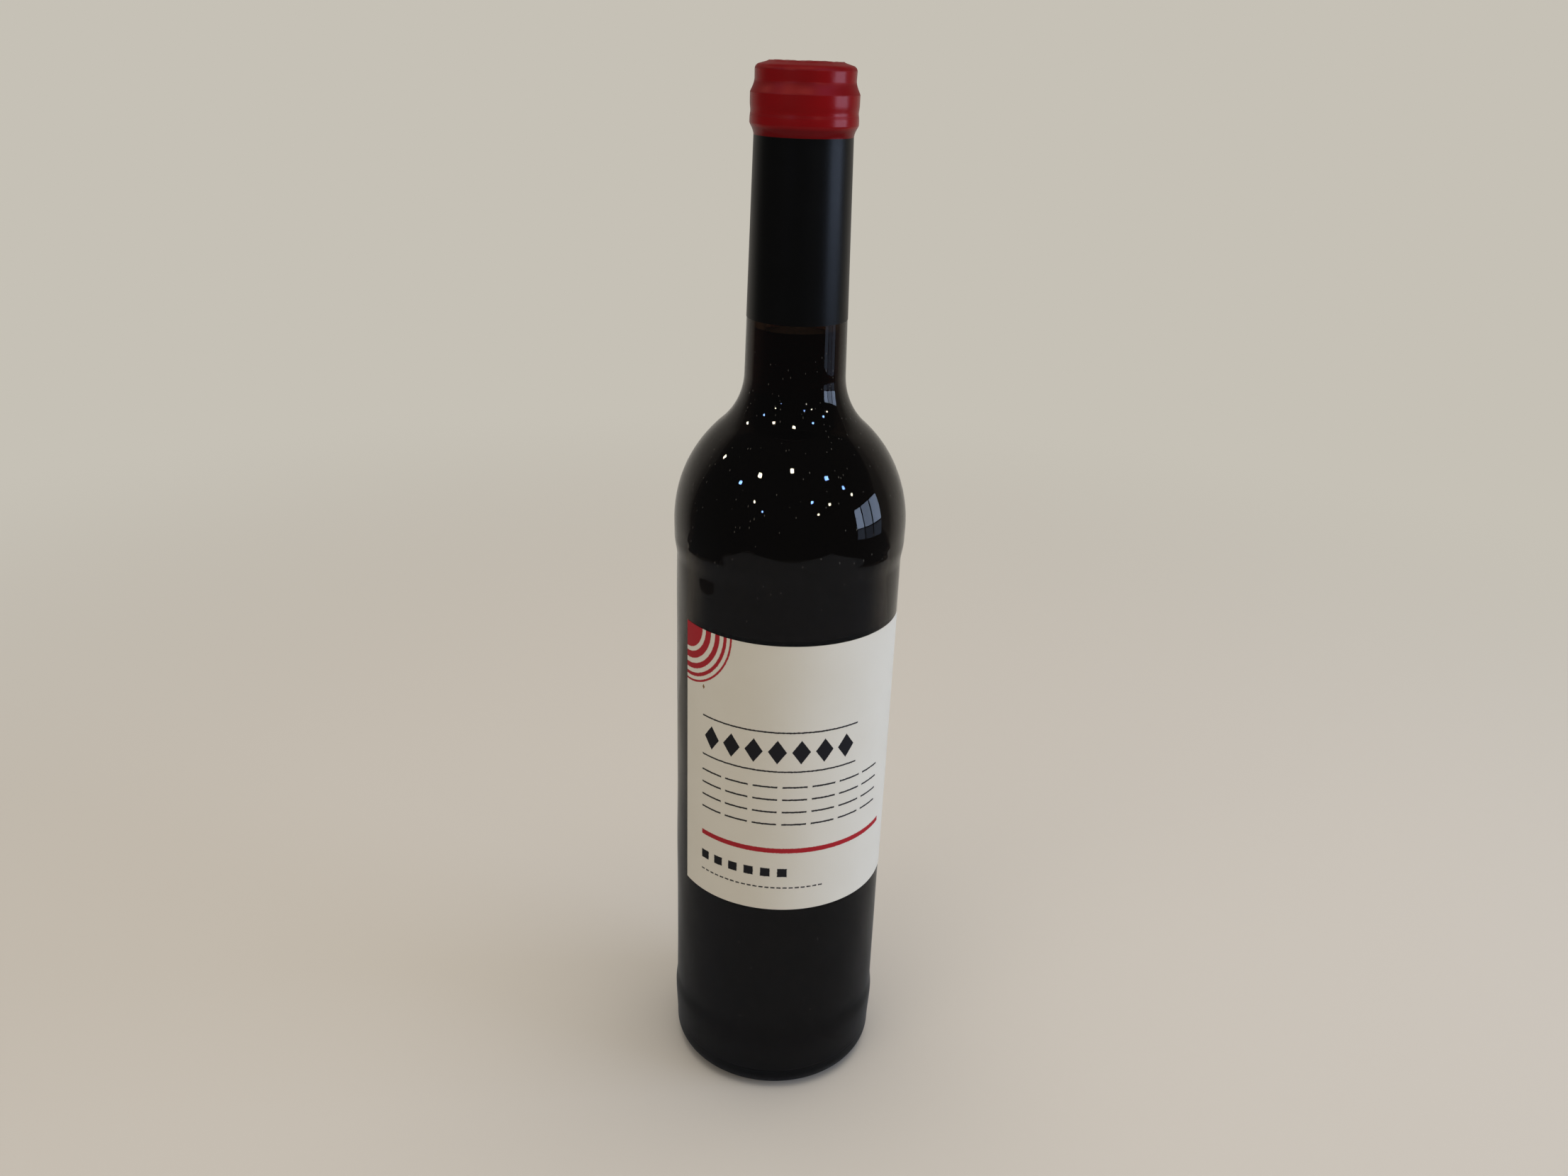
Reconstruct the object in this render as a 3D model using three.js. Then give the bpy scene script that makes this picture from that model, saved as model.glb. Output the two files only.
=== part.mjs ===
// A sealed 750 ml bottle of red wine: a dark glass bottle with square shoulders, the wine in it,
// a shrunk capsule over the mouth and a paper label on the straight panel of the body.
// Millimetres, +Z up. The origin is the middle of the foot, and the label faces -Y.

import * as THREE from "three";

const { degToRad, lerp, radToDeg, smoothstep } = THREE.MathUtils;

// Driving dimensions of the bottle's outside, as radii from the axis and heights above the table
const TOTAL_HEIGHT = 337;
const PUNT_HEIGHT = 16;
const PUNT_RADIUS = 26;
const HEEL_RADIUS = 35.4;
const HEEL_ROUND = 6.5;
const BEAD_RADIUS = 36;
const BEAD_HEIGHT = 21;
const PANEL_BOTTOM_RADIUS = 35.5;
const PANEL_BOTTOM_HEIGHT = 27;
const PANEL_TOP_RADIUS = 36;
const PANEL_TOP_HEIGHT = 189.5;
const SHOULDER_RADIUS = 36.9;
const SHOULDER_HEIGHT = 201.5;
const SHOULDER_ROUND = 42.4;
const NECK_ROUND = 21.2;
const NECK_ROOT_RADIUS = 15.55;
const NECK_TOP_RADIUS = 14.1;
const NECK_TOP_HEIGHT = 317.2;
const RING_RADIUS = 15.3;
const RING_BOTTOM_HEIGHT = 320.4;
const RING_TOP_HEIGHT = 328;
const RING_GROOVE = 0.16;
const LIP_RADIUS = 14.1;
const LIP_BOTTOM_HEIGHT = 331.2;
const LIP_ROUND = 2.6;

// The bottle's inside
const WALL = 2.65;
const PUNT_WALL = 4;
const INNER_HEEL_ROUND = 3.5;
const BORE_ROOT_RADIUS = 9.6;
const BORE_RADIUS = 9.25;
const MOUTH_ROUND = 1;
const WINE_LEVEL = 262;
const WINE_GAP = 0.1;

// The capsule and the label
const CAPSULE_BOTTOM_HEIGHT = 265.9;
const CAPSULE_WALL = 0.2;
const CAPSULE_GAP = 0.1;
const LABEL_BOTTOM_HEIGHT = 77.1;
const LABEL_TOP_HEIGHT = 173.3;
const LABEL_WIDTH = 97;
const LABEL_WALL = 0.2;
const LABEL_GAP = 0.1;

// How finely round shapes are divided: sides about the axis, and steps along each run of a profile
const SIDES = 36;
const LABEL_SEGMENTS = 16;
const STEPS = {
  punt: 5,
  heel: 6,
  bead: 3,
  swell: 4,
  shoulder: 9,
  neck: 7,
  groove: 6,
  ring: 4,
  lip: 4,
  mouth: 2,
};

// Two points closer than this are one point of a profile.
const SAME_POINT = 1e-6;

const GLASS_TOP = TOTAL_HEIGHT - CAPSULE_WALL - CAPSULE_GAP;

// A point of a profile: its distance from the axis and its height.
function point(radius, height) {
  return new THREE.Vector2(radius, height);
}

// Points of a circular arc in a profile, from one angle to another in degrees.
function arc(centre, radius, from, to, steps) {
  return Array.from({ length: steps + 1 }, (_, i) => {
    const angle = degToRad(lerp(from, to, i / steps));
    return point(centre.x + radius * Math.cos(angle), centre.y + radius * Math.sin(angle));
  });
}

// Points of a soft S-bend in a profile, upright at both ends.
function bend(from, to, steps) {
  return Array.from({ length: steps + 1 }, (_, i) => {
    const t = i / steps;
    return point(lerp(from.x, to.x, smoothstep(t, 0, 1)), lerp(from.y, to.y, t));
  });
}

// One profile from several runs of points, without the points that two runs share.
function join(...runs) {
  return runs.flat().filter((p, i, all) => i === 0 || p.distanceTo(all[i - 1]) > SAME_POINT);
}

// The body that a profile sweeps out when it turns about the Z axis.
function revolve(profile) {
  return new THREE.LatheGeometry(profile, SIDES).rotateX(Math.PI / 2);
}

const shoulderCentre = point(SHOULDER_RADIUS - SHOULDER_ROUND, SHOULDER_HEIGHT);

// The hollow round at the root of a neck touches the shoulder's round, so the line through both centres
// gives the height of its own centre and the slope at which the two rounds meet.
function neckRound(rootRadius) {
  const reach = SHOULDER_ROUND + NECK_ROUND;
  const slope = Math.acos((rootRadius + NECK_ROUND - shoulderCentre.x) / reach);
  const centre = point(rootRadius + NECK_ROUND, SHOULDER_HEIGHT + reach * Math.sin(slope));
  return { centre, slope: radToDeg(slope) };
}

// The glass is thicker in the neck than in the body, so the hollow has a neck round of its own.
const outerNeck = neckRound(NECK_ROOT_RADIUS);
const innerNeck = neckRound(BORE_ROOT_RADIUS + WALL);

// The punt is the cap of a sphere pushed up into the foot.
const puntSphere = (PUNT_HEIGHT ** 2 + PUNT_RADIUS ** 2) / (2 * PUNT_HEIGHT);
const puntCentre = point(0, PUNT_HEIGHT - puntSphere);

// The side from the label panel up to the root of a neck, moved inwards by a depth of glass.
function side(neck, depth) {
  const panelTop = point(PANEL_TOP_RADIUS - depth, PANEL_TOP_HEIGHT);
  const shoulder = point(SHOULDER_RADIUS - depth, SHOULDER_HEIGHT);
  return join(
    [point(PANEL_BOTTOM_RADIUS - depth, PANEL_BOTTOM_HEIGHT)],
    bend(panelTop, shoulder, STEPS.swell),
    arc(shoulderCentre, SHOULDER_ROUND - depth, 0, neck.slope, STEPS.shoulder),
    arc(neck.centre, NECK_ROUND + depth, 180 + neck.slope, 180, STEPS.neck),
  );
}

// The outside of the foot: the punt, the flat ring that the bottle stands on, the heel and its bead.
function foot() {
  const rim = radToDeg(Math.acos(PUNT_RADIUS / puntSphere));
  const heelCentre = point(HEEL_RADIUS - HEEL_ROUND, HEEL_ROUND);
  const bead = point(BEAD_RADIUS, BEAD_HEIGHT);
  return join(
    arc(puntCentre, puntSphere, 90, rim, STEPS.punt),
    arc(heelCentre, HEEL_ROUND, -90, 0, STEPS.heel),
    bend(point(HEEL_RADIUS, HEEL_ROUND), bead, STEPS.bead),
    bend(bead, point(PANEL_BOTTOM_RADIUS, PANEL_BOTTOM_HEIGHT), STEPS.bead),
  );
}

// The bottom of the hollow, moved inwards by a gap: a dome over the punt that runs into a round corner.
function hollowBottom(gap) {
  const dome = puntSphere + PUNT_WALL + gap;
  const corner = INNER_HEEL_ROUND - gap;
  const cornerRadius = PANEL_BOTTOM_RADIUS - WALL - INNER_HEEL_ROUND;
  const slope = Math.acos(cornerRadius / (dome + corner));
  const cornerCentre = point(cornerRadius, puntCentre.y + (dome + corner) * Math.sin(slope));
  return join(
    arc(puntCentre, dome, 90, radToDeg(slope), STEPS.punt),
    arc(cornerCentre, corner, radToDeg(slope) - 180, 0, STEPS.heel),
  );
}

// The outside of the neck tapers evenly from its root to the foot of the ring.
function neckRadius(height) {
  const root = outerNeck.centre.y;
  return lerp(NECK_ROOT_RADIUS, NECK_TOP_RADIUS, (height - root) / (NECK_TOP_HEIGHT - root));
}

// The bore tapers evenly from the root of the neck to the mouth.
function boreRadius(height) {
  const root = innerNeck.centre.y;
  return lerp(BORE_ROOT_RADIUS, BORE_RADIUS, (height - root) / (GLASS_TOP - root));
}

// The ring with its shallow groove and the lip above it, moved outwards by a thickness.
function ringAndLip(thickness) {
  const ringBottom = point(RING_RADIUS + thickness, RING_BOTTOM_HEIGHT);
  const ringTop = point(RING_RADIUS + thickness, RING_TOP_HEIGHT);
  const groove = Array.from({ length: STEPS.groove + 1 }, (_, i) => {
    const t = i / STEPS.groove;
    const depth = RING_GROOVE * Math.sin(Math.PI * t) ** 2;
    return point(ringBottom.x - depth, lerp(ringBottom.y, ringTop.y, t));
  });
  const lipCentre = point(LIP_RADIUS - LIP_ROUND, GLASS_TOP - LIP_ROUND);
  return join(
    bend(point(NECK_TOP_RADIUS + thickness, NECK_TOP_HEIGHT), ringBottom, STEPS.ring),
    groove,
    bend(ringTop, point(LIP_RADIUS + thickness, LIP_BOTTOM_HEIGHT), STEPS.ring),
    arc(lipCentre, LIP_ROUND + thickness, 0, 90, STEPS.lip),
  );
}

// The glass, from the middle of the punt up the outside, over the lip and down the inside.
function bottleGeometry() {
  const mouthCentre = point(BORE_RADIUS + MOUTH_ROUND, GLASS_TOP - MOUTH_ROUND);
  const inside = join(hollowBottom(0), side(innerNeck, WALL)).reverse();
  return revolve(
    join(
      foot(),
      side(outerNeck, 0),
      ringAndLip(0),
      arc(mouthCentre, MOUTH_ROUND, 90, 180, STEPS.mouth),
      inside,
    ),
  );
}

// The wine fills the hollow up to its level.
function wineGeometry() {
  const surface = point(boreRadius(WINE_LEVEL) - WINE_GAP, WINE_LEVEL);
  return revolve(
    join(
      hollowBottom(WINE_GAP),
      side(innerNeck, WALL + WINE_GAP),
      [surface, point(0, WINE_LEVEL)],
    ),
  );
}

// The capsule: a thin cup shrunk over the lip, the ring and the top of the neck.
function capsuleGeometry() {
  const outer = CAPSULE_GAP + CAPSULE_WALL;
  const skirt = neckRadius(CAPSULE_BOTTOM_HEIGHT);
  return revolve(
    join(
      [point(0, GLASS_TOP + CAPSULE_GAP)],
      ringAndLip(CAPSULE_GAP).reverse(),
      [point(skirt + CAPSULE_GAP, CAPSULE_BOTTOM_HEIGHT), point(skirt + outer, CAPSULE_BOTTOM_HEIGHT)],
      ringAndLip(outer),
      [point(0, TOTAL_HEIGHT)],
    ),
  );
}

// The label: a rectangle of paper bent round the panel, leaning with its slight taper.
function labelGeometry() {
  const taper = (PANEL_TOP_RADIUS - PANEL_BOTTOM_RADIUS) / (PANEL_TOP_HEIGHT - PANEL_BOTTOM_HEIGHT);
  const inner = PANEL_BOTTOM_RADIUS + taper * (LABEL_BOTTOM_HEIGHT - PANEL_BOTTOM_HEIGHT) + LABEL_GAP;
  const outer = inner + LABEL_WALL;
  const front = -Math.PI / 2;
  const halfAngle = LABEL_WIDTH / outer / 2;
  const outline = new THREE.Shape()
    .absarc(0, 0, outer, front - halfAngle, front + halfAngle, false)
    .absarc(0, 0, inner, front + halfAngle, front - halfAngle, true);
  const geometry = new THREE.ExtrudeGeometry(outline, {
    depth: LABEL_TOP_HEIGHT - LABEL_BOTTOM_HEIGHT,
    curveSegments: LABEL_SEGMENTS,
    bevelEnabled: false,
  });
  const position = geometry.getAttribute("position");
  for (let i = 0; i < position.count; i += 1) {
    const radius = Math.hypot(position.getX(i), position.getY(i));
    const spread = (radius + taper * position.getZ(i)) / radius;
    position.setXY(i, position.getX(i) * spread, position.getY(i) * spread);
  }
  return geometry.translate(0, 0, LABEL_BOTTOM_HEIGHT);
}

// A named piece with its own finish.
function piece(name, geometry, finish) {
  const mesh = new THREE.Mesh(geometry, new THREE.MeshStandardMaterial(finish));
  mesh.name = name;
  return mesh;
}

const wineBottle = new THREE.Group();
wineBottle.add(
  piece("bottle", bottleGeometry(), { color: 0x12140f, roughness: 0.06, metalness: 0 }),
  piece("wine", wineGeometry(), { color: 0x2a060c, roughness: 0.05, metalness: 0 }),
  piece("capsule", capsuleGeometry(), { color: 0x0c0c0d, roughness: 0.38, metalness: 0 }),
  piece("label", labelGeometry(), { color: 0xcfccc3, roughness: 0.85, metalness: 0 }),
);

export default wineBottle;
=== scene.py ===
"""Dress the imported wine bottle: moulded glass, wine, shrink capsule, paper label and a plain stage.

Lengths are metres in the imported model's frame: +Z is up, the foot is on the table and the label faces -Y.
"""

import logging
import math
from collections.abc import Callable, Mapping
from dataclasses import dataclass, field
from enum import Enum
from functools import partial

import bpy
import numpy as np
from mathutils import Matrix, Vector

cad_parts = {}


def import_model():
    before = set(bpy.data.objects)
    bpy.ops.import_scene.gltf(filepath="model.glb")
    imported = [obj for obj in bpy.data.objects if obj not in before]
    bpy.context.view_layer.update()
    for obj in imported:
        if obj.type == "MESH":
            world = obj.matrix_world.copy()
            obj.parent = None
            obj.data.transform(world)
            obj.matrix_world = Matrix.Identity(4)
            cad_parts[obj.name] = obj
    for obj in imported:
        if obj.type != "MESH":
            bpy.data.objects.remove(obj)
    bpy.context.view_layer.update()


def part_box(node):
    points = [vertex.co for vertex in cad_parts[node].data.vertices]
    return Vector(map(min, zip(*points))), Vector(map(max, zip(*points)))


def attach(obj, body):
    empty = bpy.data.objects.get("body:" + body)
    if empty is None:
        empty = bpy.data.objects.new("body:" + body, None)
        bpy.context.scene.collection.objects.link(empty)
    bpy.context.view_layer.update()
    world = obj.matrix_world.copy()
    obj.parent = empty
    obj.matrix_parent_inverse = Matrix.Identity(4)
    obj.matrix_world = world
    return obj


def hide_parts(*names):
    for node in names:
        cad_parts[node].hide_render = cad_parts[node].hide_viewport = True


LOG = logging.getLogger("wine_bottle")
MM = 0.001
BODY = "root"
WHITE = "#FFFFFF"
CHART = "sheet"
FULL_TURN = 2 * math.pi
RIGHT_ANGLE = math.pi / 2
SHARP_EDGE = math.radians(40)
SAME_POINT = 1e-7

Pair = tuple[float, float]
Triple = tuple[float, float, float]
Socket = bpy.types.NodeSocket
Adder = Callable[..., Socket | None]


def mm(*lengths: float) -> tuple[float, ...]:
    """Turn lengths in millimetres into metres."""
    return tuple(length * MM for length in lengths)


def linear(colour: str) -> tuple[float, float, float, float]:
    """Turn an sRGB hex colour such as "#C8C6BE" into linear RGBA.

    Args:
        colour: Six hex digits after a hash sign.

    Returns:
        Red, green, blue and an alpha of one.
    """
    channels = np.array([int(colour[i : i + 2], 16) for i in (1, 3, 5)]) / 255
    curved = np.where(channels <= 0.04045, channels / 12.92, ((channels + 0.055) / 1.055) ** 2.4)
    return (*curved.tolist(), 1.0)


def add_node(
    tree: bpy.types.NodeTree,
    kind: str,
    settings: Mapping[str | int, object] | None = None,
    links: Mapping[str | int, Socket] | None = None,
    out: str | None = None,
) -> Socket | None:
    """Add a node, give it its settings and link its inputs.

    Args:
        tree: Node tree that takes the node.
        kind: Blender's name of the node class, without the "ShaderNode" in front.
        settings: Values of the node's own properties, or of its inputs by name or number.
        links: Output sockets that feed the inputs, by the inputs' name or number.
        out: Name of the output that is wanted, where it isn't the first one in use.

    Returns:
        The output of the new node, or nothing where it has none.
    """
    node = tree.nodes.new(f"ShaderNode{kind}")
    for name, value in (settings or {}).items():
        if isinstance(name, str) and name in node.bl_rna.properties:
            setattr(node, name, value)
        else:
            node.inputs[name].default_value = value
    for name, source in (links or {}).items():
        tree.links.new(source, node.inputs[name])
    return node.outputs[out] if out else next((socket for socket in node.outputs if socket.enabled), None)


def fresh_nodes(owner: bpy.types.Material | bpy.types.World) -> Adder:
    """Empty the node tree of a material or the world.

    Args:
        owner: The material or world.

    Returns:
        What adds a node to the tree.
    """
    owner.use_nodes = True
    owner.node_tree.nodes.clear()
    return partial(add_node, owner.node_tree)


class Finish:
    """What all finishes share: a name, nodes for the skin and, where light goes in, nodes for the depth."""

    name: str

    def skin(self, node: Adder) -> Socket:
        """Add the nodes of the skin and give its shader."""
        raise NotImplementedError

    def depth(self, node: Adder) -> Socket | None:
        """Add the nodes of the depth and give its shader, which only clear finishes have."""
        return None

    def material(self) -> bpy.types.Material:
        """Make the node material of the finish.

        Returns:
            The material.
        """
        material = bpy.data.materials.new(self.name)
        node = fresh_nodes(material)
        shaders = {"Surface": self.skin(node), "Volume": self.depth(node)}
        node("OutputMaterial", links={name: shader for name, shader in shaders.items() if shader})
        return material


class ClearFinish(Finish):
    """A clear finish, which takes its colour from depth alone."""

    ior: float
    tint: str
    tint_density: float

    @property
    def clear(self) -> dict[str, object]:
        """Settings of a smooth shader that lets all light through."""
        return {"Base Color": linear(WHITE), "IOR": self.ior, "Transmission Weight": 1.0, "Roughness": 0.0}

    def depth(self, node: Adder) -> Socket:
        """Tint the light by the depth that it passes."""
        return node("VolumeAbsorption", {"Color": linear(self.tint), "Density": self.tint_density})


def add_object(name: str, data: bpy.types.ID) -> bpy.types.Object:
    """Put a new object into the scene.

    Args:
        name: Name of the object.
        data: Its mesh, light or camera.

    Returns:
        The object, at the origin.
    """
    thing = bpy.data.objects.new(name, data)
    bpy.context.collection.objects.link(thing)
    return thing


def straight(start: Pair, end: Pair, steps: int) -> np.ndarray:
    """Points of a straight run in a profile: start + t (end - start) for t from 0 to 1.

    Args:
        start: First radius and height.
        end: Last radius and height.
        steps: Number of equal steps.

    Returns:
        Rows of radius and height.
    """
    share = np.linspace(0, 1, steps + 1)[:, None]
    return np.array(start) + share * (np.array(end) - np.array(start))


def bend(start: Pair, end: Pair, steps: int, lead: float = 1) -> np.ndarray:
    """Points of a soft S-bend: the radius follows the smooth step 3s² - 2s³ of s = t^lead.

    Args:
        start: First radius and height.
        end: Last radius and height.
        steps: Number of equal steps in s. The share of the height is t.
        lead: One for an even S, less for a tight turn at the start and a long one at the end.

    Returns:
        Rows of radius and height.
    """
    share = np.linspace(0, 1, steps + 1)[:, None]
    grown = np.hstack((share**2 * (3 - 2 * share), share ** (1 / lead)))
    return np.array(start) + grown * (np.array(end) - np.array(start))


def arc(centre: Pair, radius: float, start: float, end: float, steps: int) -> np.ndarray:
    """Points of a circular arc in a profile: centre + radius (cos a, sin a).

    Args:
        centre: Radius and height of the arc's centre.
        radius: Radius of the arc itself.
        start: First angle in radians, from the outward direction.
        end: Last angle in radians.
        steps: Number of equal steps in angle.

    Returns:
        Rows of radius and height.
    """
    angle = np.linspace(start, end, steps + 1)
    return np.column_stack((centre[0] + radius * np.cos(angle), centre[1] + radius * np.sin(angle)))


def join(*runs: np.ndarray) -> np.ndarray:
    """Put runs of a profile end to end, and drop each point that repeats the one before it.

    Args:
        runs: Rows of radius and height.

    Returns:
        One profile.
    """
    points = np.vstack(runs)
    step = np.linalg.norm(np.diff(points, axis=0), axis=1)
    return points[np.concatenate(([True], step > SAME_POINT))]


def side_angles(sides: int) -> np.ndarray:
    """Angles of the columns of a turned surface, in equal steps from the label's middle."""
    return np.linspace(0, FULL_TURN, sides, endpoint=False)


def turned(radius: np.ndarray, angle: np.ndarray, height: np.ndarray) -> np.ndarray:
    """Points (r sin a, -r cos a, z) about the axis, where an angle of nought is the label's middle.

    Args:
        radius: Distance from the axis.
        angle: Angle about the axis in radians.
        height: Height above the table.

    Returns:
        X, Y and Z of each point, on the last axis.
    """
    return np.stack(np.broadcast_arrays(radius * np.sin(angle), -radius * np.cos(angle), height), axis=-1)


@dataclass
class Surface:
    """A mesh as whole arrays: points, and faces of three or four corners.

    Attributes:
        points: One row of X, Y and Z for each vertex.
        faces: Arrays of vertex numbers, each of one number of corners, turned outwards.
        chart: U and V of each vertex, where a pattern follows the surface.
    """

    points: np.ndarray
    faces: list[np.ndarray]
    chart: np.ndarray | None = None

    def to_object(self, name: str) -> bpy.types.Object:
        """Make a mesh object of the surface, smooth but for sharp edges.

        Args:
            name: Name of the object and its mesh.

        Returns:
            The object, at the origin.
        """
        mesh = bpy.data.meshes.new(name)
        faces = [face for group in self.faces for face in group.tolist()]
        mesh.from_pydata(self.points.tolist(), [], faces)
        mesh.polygons.foreach_set("use_smooth", np.ones(len(mesh.polygons), dtype=bool))
        mesh.set_sharp_from_angle(angle=SHARP_EDGE)
        if self.chart is not None:
            corner = np.empty(len(mesh.loops), dtype=np.int32)
            mesh.loops.foreach_get("vertex_index", corner)
            layer = mesh.uv_layers.new(name=CHART)
            layer.data.foreach_set("uv", self.chart[corner].astype(np.float32).ravel())
        mesh.validate()
        return add_object(name, mesh)


def grid_faces(index: np.ndarray) -> np.ndarray:
    """Quads between neighbouring rows and columns of a grid of vertex numbers.

    Args:
        index: Vertex numbers by row and column.

    Returns:
        One row of four vertex numbers for each cell.
    """
    corners = (index[:-1, :-1], index[:-1, 1:], index[1:, 1:], index[1:, :-1])
    return np.stack(corners, axis=-1).reshape(-1, 4)


def revolve(profile: np.ndarray, sides: int, relief: np.ndarray | float = 0) -> Surface:
    """Turn a profile that starts and ends on the axis into a closed surface.

    A point is (r sin a, -r cos a, z), with r and z from the profile and a from 0 to a full turn.
    The first and last rows are single poles.

    Args:
        profile: Rows of radius and height, with the outside on the right of the way along it.
        sides: Number of columns round the axis.
        relief: Height that each point of the inner rows stands out from the profile's radius.

    Returns:
        The closed surface, with its faces outwards.
    """
    points = turned(profile[1:-1, :1] + relief, side_angles(sides), profile[1:-1, 1:]).reshape(-1, 3)
    poles = np.array([[0, 0, profile[0, 1]], [0, 0, profile[-1, 1]]])
    index = np.arange(len(points)).reshape(-1, sides)
    around = np.concatenate((index, index[:, :1]), axis=1)
    first, last = len(points), len(points) + 1
    first_fan = np.column_stack((np.full(sides, first), around[0, 1:], around[0, :-1]))
    last_fan = np.column_stack((np.full(sides, last), around[-1, :-1], around[-1, 1:]))
    return Surface(np.vstack((points, poles)), [grid_faces(around), first_fan, last_fan])


@dataclass(frozen=True)
class Steps:
    """How many steps each run of the profiles is divided into."""

    punt: int = 18
    heel: int = 22
    bead: int = 8
    panel: int = 12
    swell: int = 3
    brow: int = 2
    shoulder: int = 10
    neck_root: int = 8
    neck: int = 16
    ring: int = 24
    ring_turn: int = 14
    lip: int = 10
    crown: int = 6
    mouth: int = 4
    dome: int = 14
    corner: int = 12
    wine_surface: int = 24
    skirt: int = 20
    disc: int = 8


STEPS = Steps()


@dataclass(frozen=True)
class BottleDrawing:
    """The turned outlines of the bottle, as radii from the axis and heights above the table."""

    top: float
    shoulder_radius: float
    wine_level: float
    film_foot: float
    punt_height: float = 16 * MM
    punt_radius: float = 26 * MM
    heel_radius: float = 35.4 * MM
    heel_round: float = 6.5 * MM
    bead_radius: float = 36 * MM
    bead_height: float = 21 * MM
    panel_bottom: Pair = mm(35.5, 27)
    panel_top: Pair = mm(36, 190)
    swell_top: Pair = mm(36.83, 197.2)
    shoulder_height: float = 201.5 * MM
    shoulder_round: float = 42.4 * MM
    neck_round: float = 21.2 * MM
    neck_root_radius: float = 15.5 * MM
    neck_top: Pair = mm(14.27, 317.2)
    ring_radius: float = 15.5 * MM
    ring_bottom: float = 320.6 * MM
    ring_top: float = 328.6 * MM
    ring_lead: float = 0.7
    groove_depth: float = 0.2 * MM
    groove_height: float = 323.8 * MM
    groove_reach: float = 1.2 * MM
    lip_radius: float = 14.3 * MM
    lip_bottom: float = 332.4 * MM
    lip_round: float = 1.6 * MM
    lip_height: float = 334.6 * MM
    lip_turn: float = math.radians(73)
    wall: float = 2.65 * MM
    punt_wall: float = 4 * MM
    inner_heel_round: float = 3.5 * MM
    bore_root_radius: float = 9.6 * MM
    bore_radius: float = 9.25 * MM
    mouth_round: float = 1 * MM
    film: float = 0.08 * MM
    disc_radius: float = 10.4 * MM
    disc_depth: float = 0.22 * MM

    @classmethod
    def from_frame(cls) -> "BottleDrawing":
        """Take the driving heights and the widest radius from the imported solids.

        Returns:
            The drawing.
        """
        return cls(
            top=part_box("capsule")[1][2],
            shoulder_radius=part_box("bottle")[1][0],
            wine_level=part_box("wine")[1][2],
            film_foot=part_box("capsule")[0][2],
        )

    @property
    def glass_top(self) -> float:
        """Height of the glass lip, under the film."""
        return self.top - self.film

    @property
    def shoulder_centre(self) -> Pair:
        """Centre of the shoulder's round."""
        return self.shoulder_radius - self.shoulder_round, self.shoulder_height

    @property
    def punt_sphere(self) -> float:
        """Radius of the sphere that the punt is a cap of."""
        return (self.punt_height**2 + self.punt_radius**2) / (2 * self.punt_height)

    def neck_turn(self, root_radius: float) -> tuple[Pair, float]:
        """Find the hollow round at a neck's root, which touches the shoulder's round.

        The line through both centres gives the height of this one and the slope at which the rounds meet.

        Args:
            root_radius: Radius of the neck where the round ends.

        Returns:
            Centre of the round, and the slope in radians.
        """
        reach = self.shoulder_round + self.neck_round
        slope = math.acos((root_radius + self.neck_round - self.shoulder_centre[0]) / reach)
        return (root_radius + self.neck_round, self.shoulder_height + reach * math.sin(slope)), slope

    def panel_radius(self, height: np.ndarray) -> np.ndarray:
        """Radius of the straight label panel at some heights."""
        return np.interp(height, *zip(self.panel_bottom[::-1], self.panel_top[::-1]))

    def neck_radius(self, height: float) -> float:
        """Radius of the neck's outside, which tapers evenly from its root to the ring."""
        root = self.neck_turn(self.neck_root_radius)[0][1]
        return float(np.interp(height, (root, self.neck_top[1]), (self.neck_root_radius, self.neck_top[0])))

    def bore_radius_at(self, height: float) -> float:
        """Radius of the bore, which tapers evenly from the neck's root to the mouth."""
        root = self.neck_turn(self.bore_root_radius + self.wall)[0][1]
        return float(np.interp(height, (root, self.glass_top), (self.bore_root_radius, self.bore_radius)))

    def side(self, root_radius: float, depth: float, fine: int) -> np.ndarray:
        """Run of the profile from the label panel up to a neck's root, moved inwards.

        Args:
            root_radius: Radius of the neck's root before the move.
            depth: How far the run lies inside the outer face.
            fine: How finely the run is divided.

        Returns:
            Rows of radius and height.
        """
        centre, slope = self.neck_turn(root_radius)
        widest = (self.shoulder_radius, self.shoulder_height)
        outer = (self.panel_bottom, self.panel_top, self.swell_top, widest)
        low, high, swell, shoulder = ((radius - depth, height) for radius, height in outer)
        return join(
            straight(low, high, STEPS.panel * fine),
            bend(high, swell, STEPS.swell * fine),
            bend(swell, shoulder, STEPS.brow * fine),
            arc(self.shoulder_centre, self.shoulder_round - depth, 0, slope, STEPS.shoulder * fine),
            arc(centre, self.neck_round + depth, math.pi + slope, math.pi, STEPS.neck_root * fine),
        )

    def foot(self) -> np.ndarray:
        """Run of the profile from the punt's middle over the standing ring and the heel to the panel.

        Returns:
            Rows of radius and height.
        """
        rim = math.acos(self.punt_radius / self.punt_sphere)
        heel_centre = (self.heel_radius - self.heel_round, self.heel_round)
        bead = (self.bead_radius, self.bead_height)
        heel = (self.heel_radius, self.heel_round)
        return join(
            arc((0, self.punt_height - self.punt_sphere), self.punt_sphere, RIGHT_ANGLE, rim, STEPS.punt),
            arc(heel_centre, self.heel_round, -RIGHT_ANGLE, 0, STEPS.heel),
            bend(heel, bead, STEPS.bead),
            bend(bead, self.panel_bottom, STEPS.bead),
        )

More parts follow.
